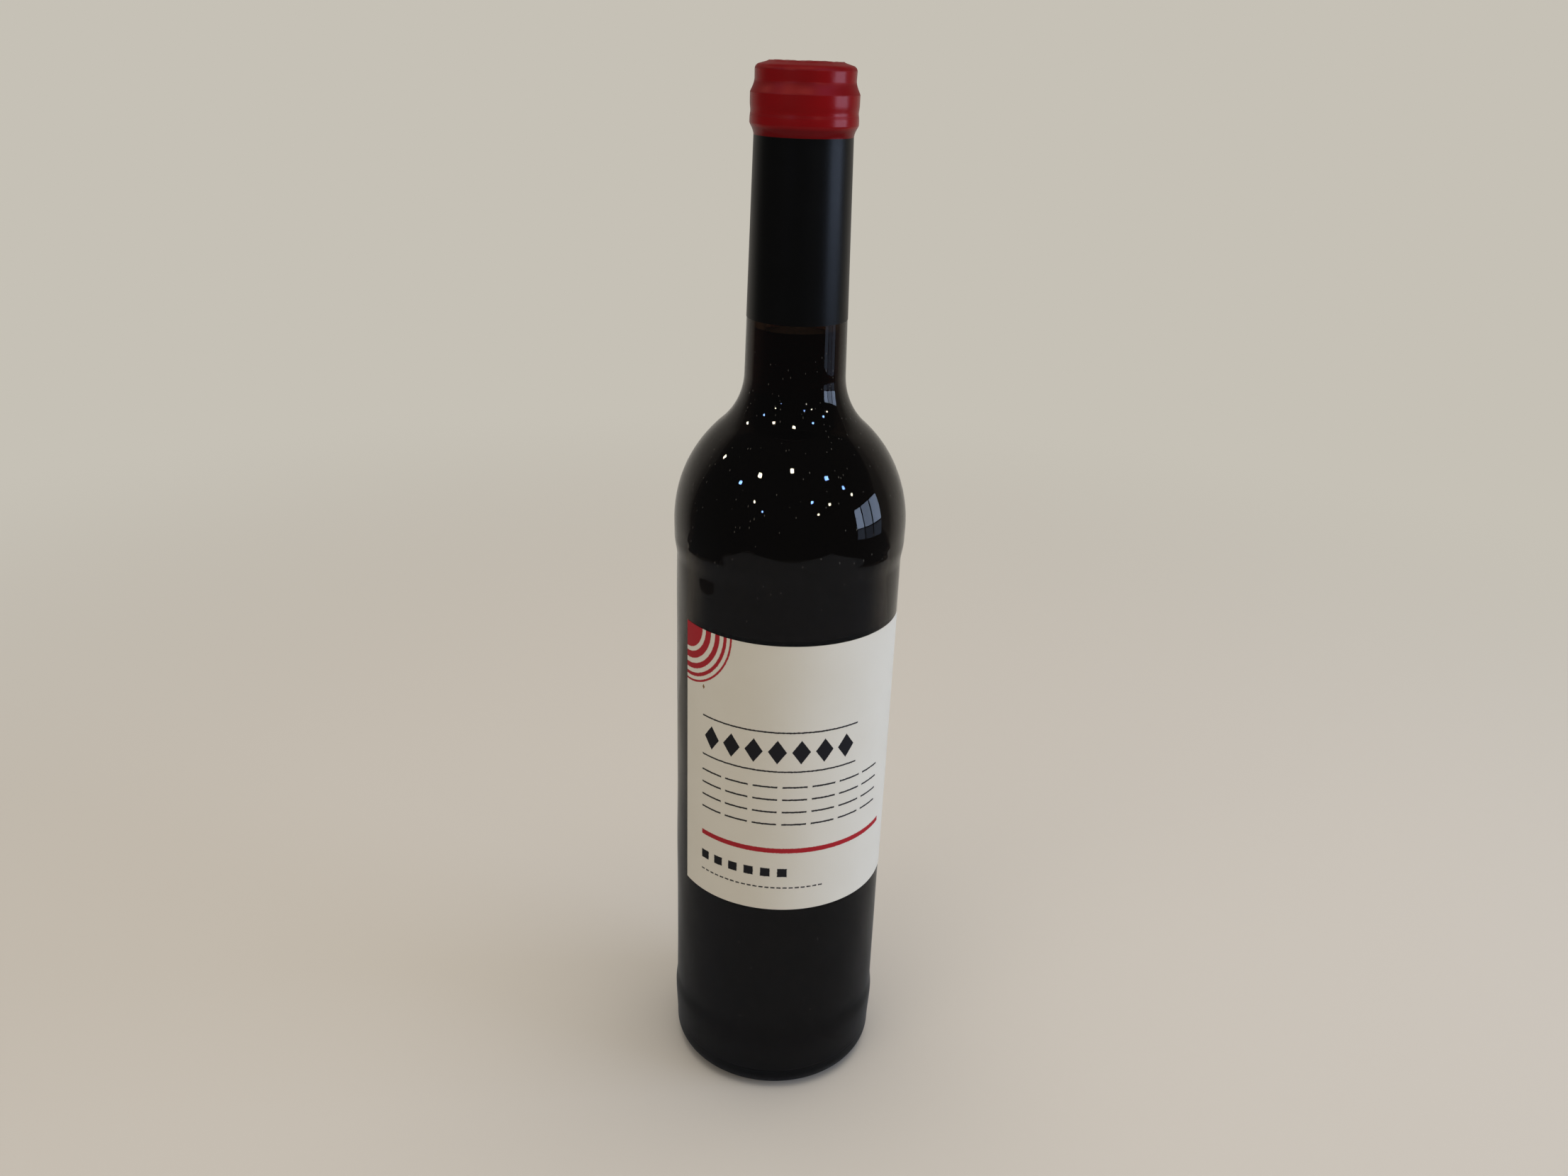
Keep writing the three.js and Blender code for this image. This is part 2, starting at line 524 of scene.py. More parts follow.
    def hollow_bottom(self, bite: float) -> np.ndarray:
        """Run of the hollow's profile over the punt and round the corner, moved outwards into the glass.

        Args:
            bite: How far the run lies in the glass.

        Returns:
            Rows of radius and height, from the axis to the foot of the panel.
        """
        dome = self.punt_sphere + self.punt_wall - bite
        corner = self.inner_heel_round + bite
        corner_radius = self.panel_bottom[0] - self.wall - self.inner_heel_round
        slope = math.acos(corner_radius / (dome + corner))
        dome_centre = (0, self.punt_height - self.punt_sphere)
        corner_centre = (corner_radius, dome_centre[1] + (dome + corner) * math.sin(slope))
        return join(
            arc(dome_centre, dome, RIGHT_ANGLE, slope, STEPS.dome),
            arc(corner_centre, corner, slope - math.pi, 0, STEPS.corner),
        )

    def collar(self, thickness: float) -> np.ndarray:
        """Run of the profile from the neck's top over the grooved ring to the lip, moved outwards.

        The ring is upright but for a groove of depth d exp(-(z - groove)² / reach²). The lip is a round that
        runs out into a slope up to the mouth.

        Args:
            thickness: Thickness of what covers the glass.

        Returns:
            Rows of radius and height.
        """
        low = (self.ring_radius + thickness, self.ring_bottom)
        high = (self.ring_radius + thickness, self.ring_top)
        ring = straight(low, high, STEPS.ring)
        off_groove = (ring[:, 1] - self.groove_height) / self.groove_reach
        ring[:, 0] -= self.groove_depth * np.exp(-(off_groove**2))
        lip_centre = (self.lip_radius - self.lip_round, self.lip_height)
        lip_foot = (self.lip_radius + thickness, self.lip_bottom)
        lip = arc(lip_centre, self.lip_round + thickness, 0, self.lip_turn, STEPS.lip)
        crown = (self.disc_radius, self.glass_top + thickness)
        neck = (self.neck_top[0] + thickness, self.neck_top[1])
        return join(
            bend(low, neck, STEPS.ring_turn, self.ring_lead)[::-1],
            ring,
            bend(high, lip_foot, STEPS.ring_turn, self.ring_lead),
            lip,
            straight(tuple(lip[-1]), crown, STEPS.crown),
        )


@dataclass(frozen=True)
class MouldedGlass(ClearFinish):
    """Soda-lime bottle glass, blown in a mould and nearly black with its brown-green tint.

    The eye gets a black body with sharp reflections that swim a little on the uneven skin, pale rims where
    the view grazes it, and a brown glow only where the glass has nothing but air behind it.
    """

    name: str = "soda_lime_bottle_glass"
    ior: float = 1.52
    tint: str = "#CBBEB0"
    tint_density: float = 600
    wave_size: float = 7 * MM
    wave_height: float = 0.006 * MM
    scuff_size: float = 1.5 * MM
    scuff_level: Pair = (0.72, 0.9)
    scuff_roughness: float = 0.06

    def skin(self, node: Adder) -> Socket:
        """Let light through an uneven skin with faint scuffs.

        Args:
            node: Adds a node.

        Returns:
            The shader.
        """
        place = {"Vector": node("TexCoord", out="Object")}
        wave = node("TexNoise", {"Scale": 1 / self.wave_size, "Detail": 1.0}, place)
        bump = node("Bump", {"Strength": 1.0, "Distance": self.wave_height}, {"Height": wave})
        scuffs = {"Scale": 1 / self.scuff_size, "Detail": 6.0, "Roughness": 0.7}
        scuff = node("TexNoise", scuffs, place)
        low, high = self.scuff_level
        dull = {"From Min": low, "From Max": high, "To Max": self.scuff_roughness}
        rough = node("MapRange", dull, {"Value": scuff})
        return node("BsdfPrincipled", self.clear, {"Roughness": rough, "Normal": bump})


@dataclass(frozen=True)
class RedWine(ClearFinish):
    """Young red wine: clear, and black in any depth, with a ruby edge where it is thin."""

    name: str = "red_wine"
    ior: float = 1.345
    tint: str = "#D84A70"
    tint_density: float = 700

    def skin(self, node: Adder) -> Socket:
        """Let light through a still, even surface."""
        return node("BsdfPrincipled", self.clear)


@dataclass(frozen=True)
class ShrinkFilm(Finish):
    """Shrunk PVC film, printed red over the ring and black on the skirt.

    The eye gets a satin skin with soft streaks of light and the faint orange peel of shrunk film. The red is
    slightly pearly, and it turns matt and pearlier where the film is pulled over a bend. Just above the
    boundary, on the underside below the ring, the red is darkened as painted shade.

    Attributes:
        boundary: Height at which the colours meet.
        underside_shade: Darker red just above the boundary, on the film's underside below the ring: painted
            shade where the film faces down, not a second ink.
        pearl: Share of pearl on the upright film and on a bend.
        bend_tilt: How far the film faces up where a bend starts and where it is full.
    """

    boundary: float
    name: str = "shrunk_pvc_film"
    red: str = "#8C040A"
    red_shade: str = "#7A0308"
    black: str = "#050505"
    # Painted shade: a darker red for the film's downward-facing underside below the ring, and how high it
    # reaches.
    underside_shade: str = "#680206"
    underside_shade_height: float = 2.9 * MM
    underside_shade_fade: float = 0.7
    pearl: Pair = (0.12, 0.35)
    red_roughness: Pair = (0.2, 0.28)
    black_roughness: Pair = (0.28, 0.38)
    bend_roughness: float = 0.44
    bend_tilt: Pair = (0.08, 0.25)
    edge_wander: float = 0.12 * MM
    wander_size: float = 4 * MM
    tone_size: float = 9 * MM
    peel_size: float = 2.4 * MM
    peel_height: float = 0.012 * MM
    ior: float = 1.5
    specular: float = 0.36

    def skin(self, node: Adder) -> Socket:
        """Print two colours that meet at a height on a satin skin.

        Args:
            node: Adds a node.

        Returns:
            The shader.
        """
        place = {"Vector": node("TexCoord", out="Object")}
        height = node("SeparateXYZ", links=place, out="Z")
        wander = node("TexNoise", {"Scale": 1 / self.wander_size}, place)
        drift = {"operation": "MULTIPLY_ADD", 1: self.edge_wander}
        level = {"Value": node("Math", drift, {0: wander, 2: height})}
        edge = self.boundary
        is_red = node("MapRange", {"From Min": edge, "From Max": edge + self.edge_wander}, level)
        # Painted shade: the red darkens towards the boundary, on the underside below the ring.
        fade_start = edge + self.underside_shade_fade * self.underside_shade_height
        fade = {"From Min": edge + self.underside_shade_height, "From Max": fade_start}
        painted_shade = node("MapRange", fade, level)
        tone = node("TexNoise", {"Scale": 1 / self.tone_size, "Detail": 3.0}, place)
        reds = {"data_type": "RGBA", 6: linear(self.red), 7: linear(self.red_shade)}
        red = node("Mix", reds, {0: tone})
        red_with_shade = node("Mix", {"data_type": "RGBA", 7: linear(self.underside_shade)}, {0: painted_shade, 6: red})
        colour = node("Mix", {"data_type": "RGBA", 6: linear(self.black)}, {0: is_red, 7: red_with_shade})
        peel = node("TexNoise", {"Scale": 1 / self.peel_size, "Detail": 2.0}, place)
        bump = node("Bump", {"Strength": 1.0, "Distance": self.peel_height}, {"Height": peel})
        satin, matt = (
            node("MapRange", {"To Min": low, "To Max": high}, {"Value": tone})
            for low, high in (self.red_roughness, self.black_roughness)
        )
        facing = node("NewGeometry", out="Normal")
        tilt = node("SeparateXYZ", links={"Vector": facing}, out="Z")
        start, full = self.bend_tilt
        bent = node("MapRange", {"From Min": start, "From Max": full}, {"Value": tilt})
        pulled = node("Mix", {3: self.bend_roughness}, {0: bent, 2: satin})
        rough = node("Mix", links={0: is_red, 2: matt, 3: pulled})
        pearls = node("Mix", {2: self.pearl[0], 3: self.pearl[1]}, {0: bent})
        pearl = node("Math", {"operation": "MULTIPLY"}, {0: is_red, 1: pearls})
        return node(
            "BsdfPrincipled",
            {"IOR": self.ior, "Specular IOR Level": self.specular},
            {"Base Color": colour, "Metallic": pearl, "Roughness": rough, "Normal": bump},
        )


class Ink(Enum):
    """The label's two printing inks, and the brown of a small stain."""

    RED = "#A8101F"
    DARK = "#1B1A1E"
    STAIN = "#80602F"


class Shape(Enum):
    """The plain shapes that the label's print is made of."""

    BAR = "bar"
    LOZENGE = "lozenge"
    RING = "ring"


@dataclass(frozen=True)
class Motif:
    """A printed shape, once or in rows, with places from the sheet's lower left corner.

    Attributes:
        centre: Middle of the first one, along and up the sheet.
        size: Length and height of a bar or a lozenge, or middle radius and width of a ring.
        count: How many there are along and up the sheet.
        pitch: Distance from one to the next along and up the sheet.
    """

    ink: Ink
    shape: Shape
    centre: Pair
    size: Pair
    count: tuple[int, int] = (1, 1)
    pitch: Pair = (1.0, 1.0)

    def cell(self, node: Adder, place: Socket) -> Socket:
        """Find the way from the nearest copy's middle: p - pitch round((p - centre) / pitch) - centre.

        The number of copies is held between nought and the count less one.

        Args:
            node: Adds a node.
            place: Point on the sheet in metres.

        Returns:
            The way from the nearest middle to the point.
        """
        away = node("VectorMath", {"operation": "SUBTRACT", 1: (*self.centre, 0)}, {0: place})
        if self.count == (1, 1):
            return away
        nought, half = (0, 0, 0), (0.5, 0.5, 0.5)
        pitch = (*self.pitch, 1)
        last = (self.count[0] - 1, self.count[1] - 1, 0)
        moved = away
        for operation, value in (
            ("DIVIDE", pitch),
            ("ADD", half),
            ("FLOOR", nought),
            ("MAXIMUM", nought),
            ("MINIMUM", last),
            ("MULTIPLY", pitch),
        ):
            moved = node("VectorMath", {"operation": operation, 1: value}, {0: moved})
        return node("VectorMath", {"operation": "SUBTRACT"}, {0: away, 1: moved})

    def outside(self, node: Adder, place: Socket) -> Socket:
        """Measure how far a point is outside the shape, below nought inside it.

        A bar gives the larger of |x| - a and |y| - b, and a lozenge (|x| / a + |y| / b - 1) b, with half
        sizes a and b. A ring gives |r - a| - b, with its radius a, half its width b and the distance r from
        the middle.

        Args:
            node: Adds a node.
            place: Point on the sheet in metres.

        Returns:
            The distance in metres.
        """
        away = self.cell(node, place)
        half = (self.size[0] / 2, self.size[1] / 2, 1)
        if self.shape is Shape.RING:
            gap = node("VectorMath", {"operation": "LENGTH"}, {0: away})
            for operation, value in (("SUBTRACT", self.size[0]), ("ABSOLUTE", 0), ("SUBTRACT", half[1])):
                gap = node("Math", {"operation": operation, 1: value}, {0: gap})
            return gap
        folded = node("VectorMath", {"operation": "ABSOLUTE"}, {0: away})
        compare = "SUBTRACT" if self.shape is Shape.BAR else "DIVIDE"
        compared = node("VectorMath", {"operation": compare, 1: half}, {0: folded})
        along = node("SeparateXYZ", links={0: compared}, out="X")
        axes = {0: along, 1: along.node.outputs["Y"]}
        if self.shape is Shape.BAR:
            return node("Math", {"operation": "MAXIMUM"}, axes)
        total = node("Math", {"operation": "ADD"}, axes)
        return node("Math", {"operation": "MULTIPLY_ADD", 1: half[1], 2: -half[1]}, {0: total})


@dataclass(frozen=True)
class LabelPaper(Finish):
    """Uncoated off-white paper with a generic print in two inks.

    The eye gets a matt sheet with a faint felt texture, and flat inks with slightly feathered edges.
    Real felt is finer, and is drawn as coarse as it needs to show.
    """

    width: float
    height: float
    name: str = "uncoated_label_paper"
    paper: str = "#DDD8CC"
    paper_shade: str = "#D6D0C2"
    cloud_size: float = 18 * MM
    soft_edge: float = 0.1 * MM
    ink_wander: float = 0.35 * MM
    felt_size: float = 0.7 * MM
    felt_height: float = 0.02 * MM
    roughness: float = 0.75
    ior: float = 1.45

    def motifs(self) -> tuple[Motif, ...]:
        """List the print: a sun in the upper left corner, lozenges between rules, rows of marks and a stain.

        Returns:
            The motifs in the order of printing.
        """
        corner = (0, self.height)
        sun = ((4.3, 8.6), (11.2, 2.3), (14.9, 1.8), (17.8, 1.2), (19.9, 0.7))
        return (
            *(Motif(Ink.RED, Shape.RING, corner, mm(*ring)) for ring in sun),
            Motif(Ink.DARK, Shape.BAR, mm(36, 66.5), mm(54, 0.55)),
            Motif(Ink.DARK, Shape.LOZENGE, mm(13, 59.5), mm(6, 8.5), (7, 1), (7.6 * MM, 1)),
            Motif(Ink.DARK, Shape.BAR, mm(36, 52.5), mm(54, 0.55)),
            Motif(Ink.DARK, Shape.BAR, mm(13, 33), mm(8, 0.6), (7, 4), mm(9.6, 4.6)),
            Motif(Ink.RED, Shape.BAR, mm(44, 23), mm(70, 1.8)),
            Motif(Ink.DARK, Shape.BAR, mm(10.6, 14.5), mm(3.2, 3.2), (6, 1), (5.6 * MM, 1)),
            Motif(Ink.DARK, Shape.BAR, mm(9.7, 8.6), mm(1.4, 0.5), (22, 1), (2 * MM, 1)),
            Motif(Ink.STAIN, Shape.LOZENGE, mm(9.2, 76.5), mm(1.1, 1.7)),
        )

    def skin(self, node: Adder) -> Socket:
        """Print the paper on the sheet's own chart.

        Args:
            node: Adds a node.

        Returns:
            The shader.
        """
        chart = node("UVMap", {"uv_map": CHART})
        sheet = node("Mapping", {"Scale": (self.width, self.height, 1)}, {"Vector": chart})
        place = {"Vector": sheet}
        felt = node("TexNoise", {"Scale": 1 / self.felt_size, "Detail": 4.0}, place)
        cloud = node("TexNoise", {"Scale": 1 / self.cloud_size, "Detail": 2.0}, place)
        papers = {"data_type": "RGBA", 6: linear(self.paper), 7: linear(self.paper_shade)}
        colour = node("Mix", papers, {0: cloud})
        feather = {"operation": "MULTIPLY_ADD", 1: self.ink_wander, 2: -self.ink_wander / 2}
        spread = node("Math", feather, {0: felt})
        fade = {"From Min": -self.soft_edge, "From Max": self.soft_edge, "To Min": 1.0, "To Max": 0.0}
        for motif in self.motifs():
            edge = node("Math", {"operation": "ADD"}, {0: motif.outside(node, sheet), 1: spread})
            inked = node("MapRange", fade, {"Value": edge})
            ink = {"data_type": "RGBA", 7: linear(motif.ink.value)}
            colour = node("Mix", ink, {0: inked, 6: colour})
        bump = node("Bump", {"Strength": 1.0, "Distance": self.felt_height}, {"Height": felt})
        matt = {"Roughness": self.roughness, "IOR": self.ior}
        return node("BsdfPrincipled", matt, {"Base Color": colour, "Normal": bump})


@dataclass
class GlassBottle:
    """The hollow glass bottle.

    Attributes:
        waves: Height, turns round the axis, length up it and phase of each wave of the uneven skin.
        wave_heights: Heights at which the waves start, are full, start to fade and end.
    """

    drawing: BottleDrawing
    finish: MouldedGlass = field(default_factory=MouldedGlass)
    sides: int = 224
    waves: tuple[tuple[float, int, float, float], ...] = (
        (0.06 * MM, 4, 75 * MM, 0.4),
        (0.035 * MM, 9, -48 * MM, 1.9),
        (0.02 * MM, 15, 31 * MM, 3.1),
    )
    wave_heights: tuple[float, ...] = mm(10, 30, 230, 250)
    piece: bpy.types.Object | None = None

    def unevenness(self, profile: np.ndarray) -> np.ndarray:
        """Swell and sink the blown outer face: the sum of h cos(n a + 2 pi z / l + p) over the waves.

        It fades out over the foot, towards the neck and at the inner face, where the mould or the tools
        press the glass true.

        Args:
            profile: Rows of radius and height of the glass.

        Returns:
            Height of the unevenness by row and side, for the rows between the poles.
        """
        angle = side_angles(self.sides)
        height = profile[1:-1, 1:]
        swell = sum(
            size * np.cos(turns * angle + FULL_TURN * height / length + phase)
            for size, turns, length, phase in self.waves
        )
        fade = np.interp(height, self.wave_heights, (0, 1, 1, 0))
        outer = np.arange(len(height))[:, None] < np.argmax(profile[:, 1])
        return swell * fade * outer

    def profile(self) -> np.ndarray:
        """Profile of the glass from the punt's middle up the outside, over the lip and down the inside.

        Returns:
            Rows of radius and height.
        """
        drawing = self.drawing
        root = drawing.neck_turn(drawing.neck_root_radius)[0][1]
        mouth = (drawing.bore_radius + drawing.mouth_round, drawing.glass_top - drawing.mouth_round)
        inner_side = drawing.side(drawing.bore_root_radius + drawing.wall, drawing.wall, fine=2)
        return join(
            drawing.foot(),
            drawing.side(drawing.neck_root_radius, depth=0, fine=4),
            straight((drawing.neck_root_radius, root), drawing.neck_top, STEPS.neck),
            drawing.collar(0),
            arc(mouth, drawing.mouth_round, RIGHT_ANGLE, math.pi, STEPS.mouth),
            join(drawing.hollow_bottom(0), inner_side)[::-1],
        )

    def outer_face(self) -> tuple[np.ndarray, np.ndarray]:
        """Find the rows of the outside of body and neck.

        Returns:
            Radius and height of the rows, rising, and the unevenness of each by side.
        """
        profile = self.profile()
        rising = (profile[:, 1] > self.drawing.panel_bottom[1]) & (profile[:, 1] < self.drawing.film_foot)
        rising &= np.arange(len(profile)) < np.argmax(profile[:, 1])
        return profile[rising], self.unevenness(profile)[rising[1:-1]]

    def build(self) -> None:
        """Turn the profile about the axis."""
        profile = self.profile()
        self.piece = revolve(profile, self.sides, self.unevenness(profile)).to_object("bottle_glass_shell")
        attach(self.piece, BODY)
        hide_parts("bottle")

    def dress(self) -> None:
        """Give the shell its glass."""
        self.piece.data.materials.append(self.finish.material())


@dataclass
class WineFill:
    """The wine, which bites just into the wall so that no air shows between them."""

    drawing: BottleDrawing
    finish: RedWine = field(default_factory=RedWine)
    sides: int = 160
    bite: float = 0.15 * MM
    meniscus: float = 0.9 * MM
    meniscus_reach: float = 1.1 * MM
    piece: bpy.types.Object | None = None

    def profile(self) -> np.ndarray:
        """Profile of the wine, with a surface that climbs the wall by h exp(-gap / reach).

        Returns:
            Rows of radius and height.
        """
        drawing = self.drawing
        low = drawing.side(drawing.bore_root_radius + drawing.wall, drawing.wall - self.bite, fine=2)
        rim = drawing.bore_radius_at(drawing.wine_level) + self.bite
        surface = straight((rim, drawing.wine_level), (0, drawing.wine_level), STEPS.wine_surface)
        surface[:, 1] += self.meniscus * np.exp((surface[:, 0] - rim) / self.meniscus_reach)
        return join(drawing.hollow_bottom(self.bite), low, surface)

    def build(self) -> None:
        """Turn the profile about the axis."""
        self.piece = revolve(self.profile(), self.sides).to_object("wine_fill")
        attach(self.piece, BODY)
        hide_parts("wine")

    def dress(self) -> None:
        """Give the fill its wine."""
        self.piece.data.materials.append(self.finish.material())


@dataclass
class ShrinkCapsule:
    """The shrunk film over lip, ring and upper neck, folded in round a flat disc on top.

    Attributes:
        boundary: Height at which red meets black.
        pleats: Half height, number round the axis and phase of each set of pleats.
        fold_reach: How far the folded edge reaches over the top.
        fold_width: Width of the step from the fold down to the disc.
    """

    drawing: BottleDrawing
    boundary: float = 317.4 * MM
    sides: int = 192
    gap: float = 0.02 * MM
    pleats: tuple[tuple[float, int, float], ...] = (
        (0.05 * MM, 5, 0.3),
        (0.04 * MM, 13, 1.7),
        (0.025 * MM, 29, 2.6),
    )
    fold_reach: float = 0.5 * MM
    fold_width: float = 0.3 * MM
    piece: bpy.types.Object | None = None

    def folds(self, angle: np.ndarray) -> np.ndarray:
        """Height of the pleats at some angles: the sum of h (1 + cos(n a + p)) over the sets."""
        return sum(size * (1 + np.cos(turns * angle + phase)) for size, turns, phase in self.pleats)

    def puckers(self, profile: np.ndarray) -> np.ndarray:
        """Pucker the film where it is folded in over the lip, by the height of the pleats.

        It grows from nought at the foot of the lip to its full height on top, on the outer face alone.

        Args:
            profile: Rows of radius and height of the film.

        Returns:
            Height of the pucker by row and side, for the rows between the poles.
        """
        height = profile[1:-1, 1:]
        grown = np.interp(height, (self.drawing.lip_bottom, self.drawing.glass_top), (0, 1))
        outer = np.arange(len(height))[:, None] > np.argmin(profile[:, 1])
        folded = profile[1:-1, :1] >= self.drawing.disc_radius
        return self.folds(side_angles(self.sides)) * grown * outer * folded

    def lift_fold(self, points: np.ndarray) -> None:
        """Lift the folded edge round the disc by the height of the pleats times exp(-gap² / reach²).

        Args:
            points: Rows of X, Y and Z of the film, changed in place.
        """
        angle = np.arctan2(points[:, 0], -points[:, 1])
        gap = np.hypot(points[:, 0], points[:, 1]) - self.drawing.disc_radius
        on_top = points[:, 2] > self.drawing.top - self.fold_reach
        points[:, 2] += on_top * self.folds(angle) * np.exp(-((gap / self.fold_reach) ** 2))

    def shell(self, thickness: float) -> np.ndarray:
        """Profile of one face of the film, from the lower edge up to the fold on top.

        Args:
            thickness: How far the face lies outside the glass.

        Returns:
            Rows of radius and height.
        """
        drawing = self.drawing
        foot = (drawing.neck_radius(drawing.film_foot) + thickness, drawing.film_foot)
        neck = (drawing.neck_top[0] + thickness, drawing.neck_top[1])
        return join(straight(foot, neck, STEPS.skirt), drawing.collar(thickness))

    def build(self) -> None:
        """Turn the film's outer and inner faces about the axis as one thin closed shell."""
        drawing = self.drawing
        outer = self.shell(drawing.film)
        inner = self.shell(self.gap)
        disc = drawing.top - drawing.disc_depth
        fold = (drawing.disc_radius, drawing.top)
        flat = straight((0, disc), (drawing.disc_radius - self.fold_width, disc), STEPS.disc)
        top = join(flat, np.array([fold]))
        profile = join(inner[::-1][:1] * (0, 1), inner[::-1], outer, top[::-1])
        film = revolve(profile, self.sides, self.puckers(profile))
        self.lift_fold(film.points)
        self.piece = film.to_object("capsule_film")
        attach(self.piece, BODY)
        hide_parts("capsule")

    def dress(self) -> None:
        """Give the film its two colours."""
        self.piece.data.materials.append(ShrinkFilm(self.boundary).material())


@dataclass
class PaperLabel:
    """The paper sheet that is glued round the front of the label panel."""

    drawing: BottleDrawing
    width: float = 97 * MM
    thickness: float = 0.12 * MM
    gap: float = 0.02 * MM
    columns: int = 120
    rows: int = 40
    piece: bpy.types.Object | None = None

    @property
    def span(self) -> Pair:
        """Lowest and highest edge of the sheet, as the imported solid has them."""
        low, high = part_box("label")
        return low[2], high[2]

    def build(self) -> None:
        """Wrap a sheet round the panel: a point is (r sin a, -r cos a, z), with a = u / radius."""
        low, high = self.span
        u, v = np.meshgrid(np.linspace(0, 1, self.columns + 1), np.linspace(0, 1, self.rows + 1))
        height = low + (high - low) * v
        base = self.drawing.panel_radius(height)
        angle = (u - 0.5) * self.width / base.mean()
        depths = (self.gap + self.thickness, self.gap)
        points = [turned(base + depth, angle, height).reshape(-1, 3) for depth in depths]
        front = np.arange(u.size).reshape(u.shape)
        back = front + u.size
        rim = np.concatenate((front[0, :-1], front[:-1, -1], front[-1, :0:-1], front[:0:-1, 0]))
        rim = np.append(rim, rim[0])
        faces = [grid_faces(front), grid_faces(back[:, ::-1]), grid_faces(np.stack((rim + u.size, rim)))]
        chart = np.column_stack((u.ravel(), v.ravel()))
        sheet = Surface(np.vstack(points), faces, np.vstack((chart, chart)))
        self.piece = sheet.to_object("label_sheet")
        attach(self.piece, BODY)
        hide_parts("label")

    def dress(self) -> None:
        """Print the paper."""
        low, high = self.span
        self.piece.data.materials.append(LabelPaper(self.width, high - low).material())


@dataclass(frozen=True)
class ShelfDust(Finish):
    """Household dust: grey flecks of lint and grit, matt and a little uneven in tone."""

    name: str = "household_dust"
    pale: str = "#6B675F"
    dark: str = "#45423D"
    tone_size: float = 6 * MM
    roughness: float = 0.9
    ior: float = 1.4

    def skin(self, node: Adder) -> Socket:
        """Let the tone drift from fleck to fleck.

        Args:
            node: Adds a node.

        Returns:
            The shader.
        """
        place = {"Vector": node("TexCoord", out="Object")}
        tone = node("TexNoise", {"Scale": 1 / self.tone_size}, place)
        greys = {"data_type": "RGBA", 6: linear(self.dark), 7: linear(self.pale)}
        colour = node("Mix", greys, {0: tone})
        matt = {"Roughness": self.roughness, "IOR": self.ior}
        return node("BsdfPrincipled", matt, {"Base Color": colour})


@dataclass
class DustFlecks:
    """The flecks of dust that cling to the shoulder and the root of the neck, with a few on the lower body.

    Attributes:
        scatter: How many there are in each zone, with its lowest, commonest and highest place.
        length: Least and greatest half length, up the glass.
        width: Least and greatest half width, round the glass.
        thickness: Half thickness.
    """

    glass: GlassBottle
    finish: ShelfDust = field(default_factory=ShelfDust)
    scatter: tuple[tuple[int, float, float, float], ...] = (
        (420, 175 * MM, 238 * MM, 262 * MM),
        (44, 28 * MM, 38 * MM, 76 * MM),
    )
    seed: int = 11
    length: Pair = mm(0.1, 0.45)
    width: Pair = mm(0.06, 0.13)
    thickness: float = 0.03 * MM
    piece: bpy.types.Object | None = None

    def draw(self) -> np.ndarray:
        """Draw the flecks at random, zone by zone.

        Returns:
            Rows of angle, height, half length and half width, with a column for each fleck.
        """
        chance = np.random.default_rng(self.seed)
        zones = [
            (
                chance.uniform(0, FULL_TURN, count),
                chance.triangular(*heights, count),
                chance.uniform(*self.length, count),
                chance.uniform(*self.width, count),
            )
            for count, *heights in self.scatter
        ]
        return np.hstack(zones)

    def build(self) -> None:
        """Set an eight-sided fleck on the glass at each drawn place: p = middle + a up + b round + c out.

        Up and round lie in the face of the glass, out stands on it, and the glass cuts each fleck in half.
        """
        angle, height, half_length, half_width = self.draw()
        profile, swell = self.glass.outer_face()
        row = np.argmin(np.abs(profile[:, 1][None, :] - height[:, None]), 1)
        column = np.rint(angle / FULL_TURN * self.glass.sides).astype(int) % self.glass.sides
        radius = np.interp(height, profile[:, 1], profile[:, 0]) + swell[row, column]
        lean = np.arctan(np.interp(height, profile[:, 1], np.gradient(profile[:, 0], profile[:, 1])))
        round_way = np.stack((np.cos(angle), np.sin(angle), np.zeros(len(angle))), -1)
        up_way = turned(np.sin(lean), angle, np.cos(lean))
        out_way = np.cross(round_way, up_way)
        middle = turned(radius, angle, height)
        arms = (half_width[:, None] * round_way, half_length[:, None] * up_way, self.thickness * out_way)
        tips = np.stack([middle + side * arm for arm in arms for side in (1, -1)], 1)
        ring = np.array((0, 2, 1, 3))
        after = np.roll(ring, -1)
        upper, lower = np.full(len(ring), 4), np.full(len(ring), 5)
        fleck = np.vstack((np.column_stack((ring, after, upper)), np.column_stack((after, ring, lower))))
        faces = (fleck[None] + tips.shape[1] * np.arange(len(tips))[:, None, None]).reshape(-1, 3)
        self.piece = Surface(tips.reshape(-1, 3), [faces]).to_object("dust_flecks")
        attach(self.piece, BODY)

    def dress(self) -> None:
        """Make the flecks grey."""
        self.piece.data.materials.append(self.finish.material())


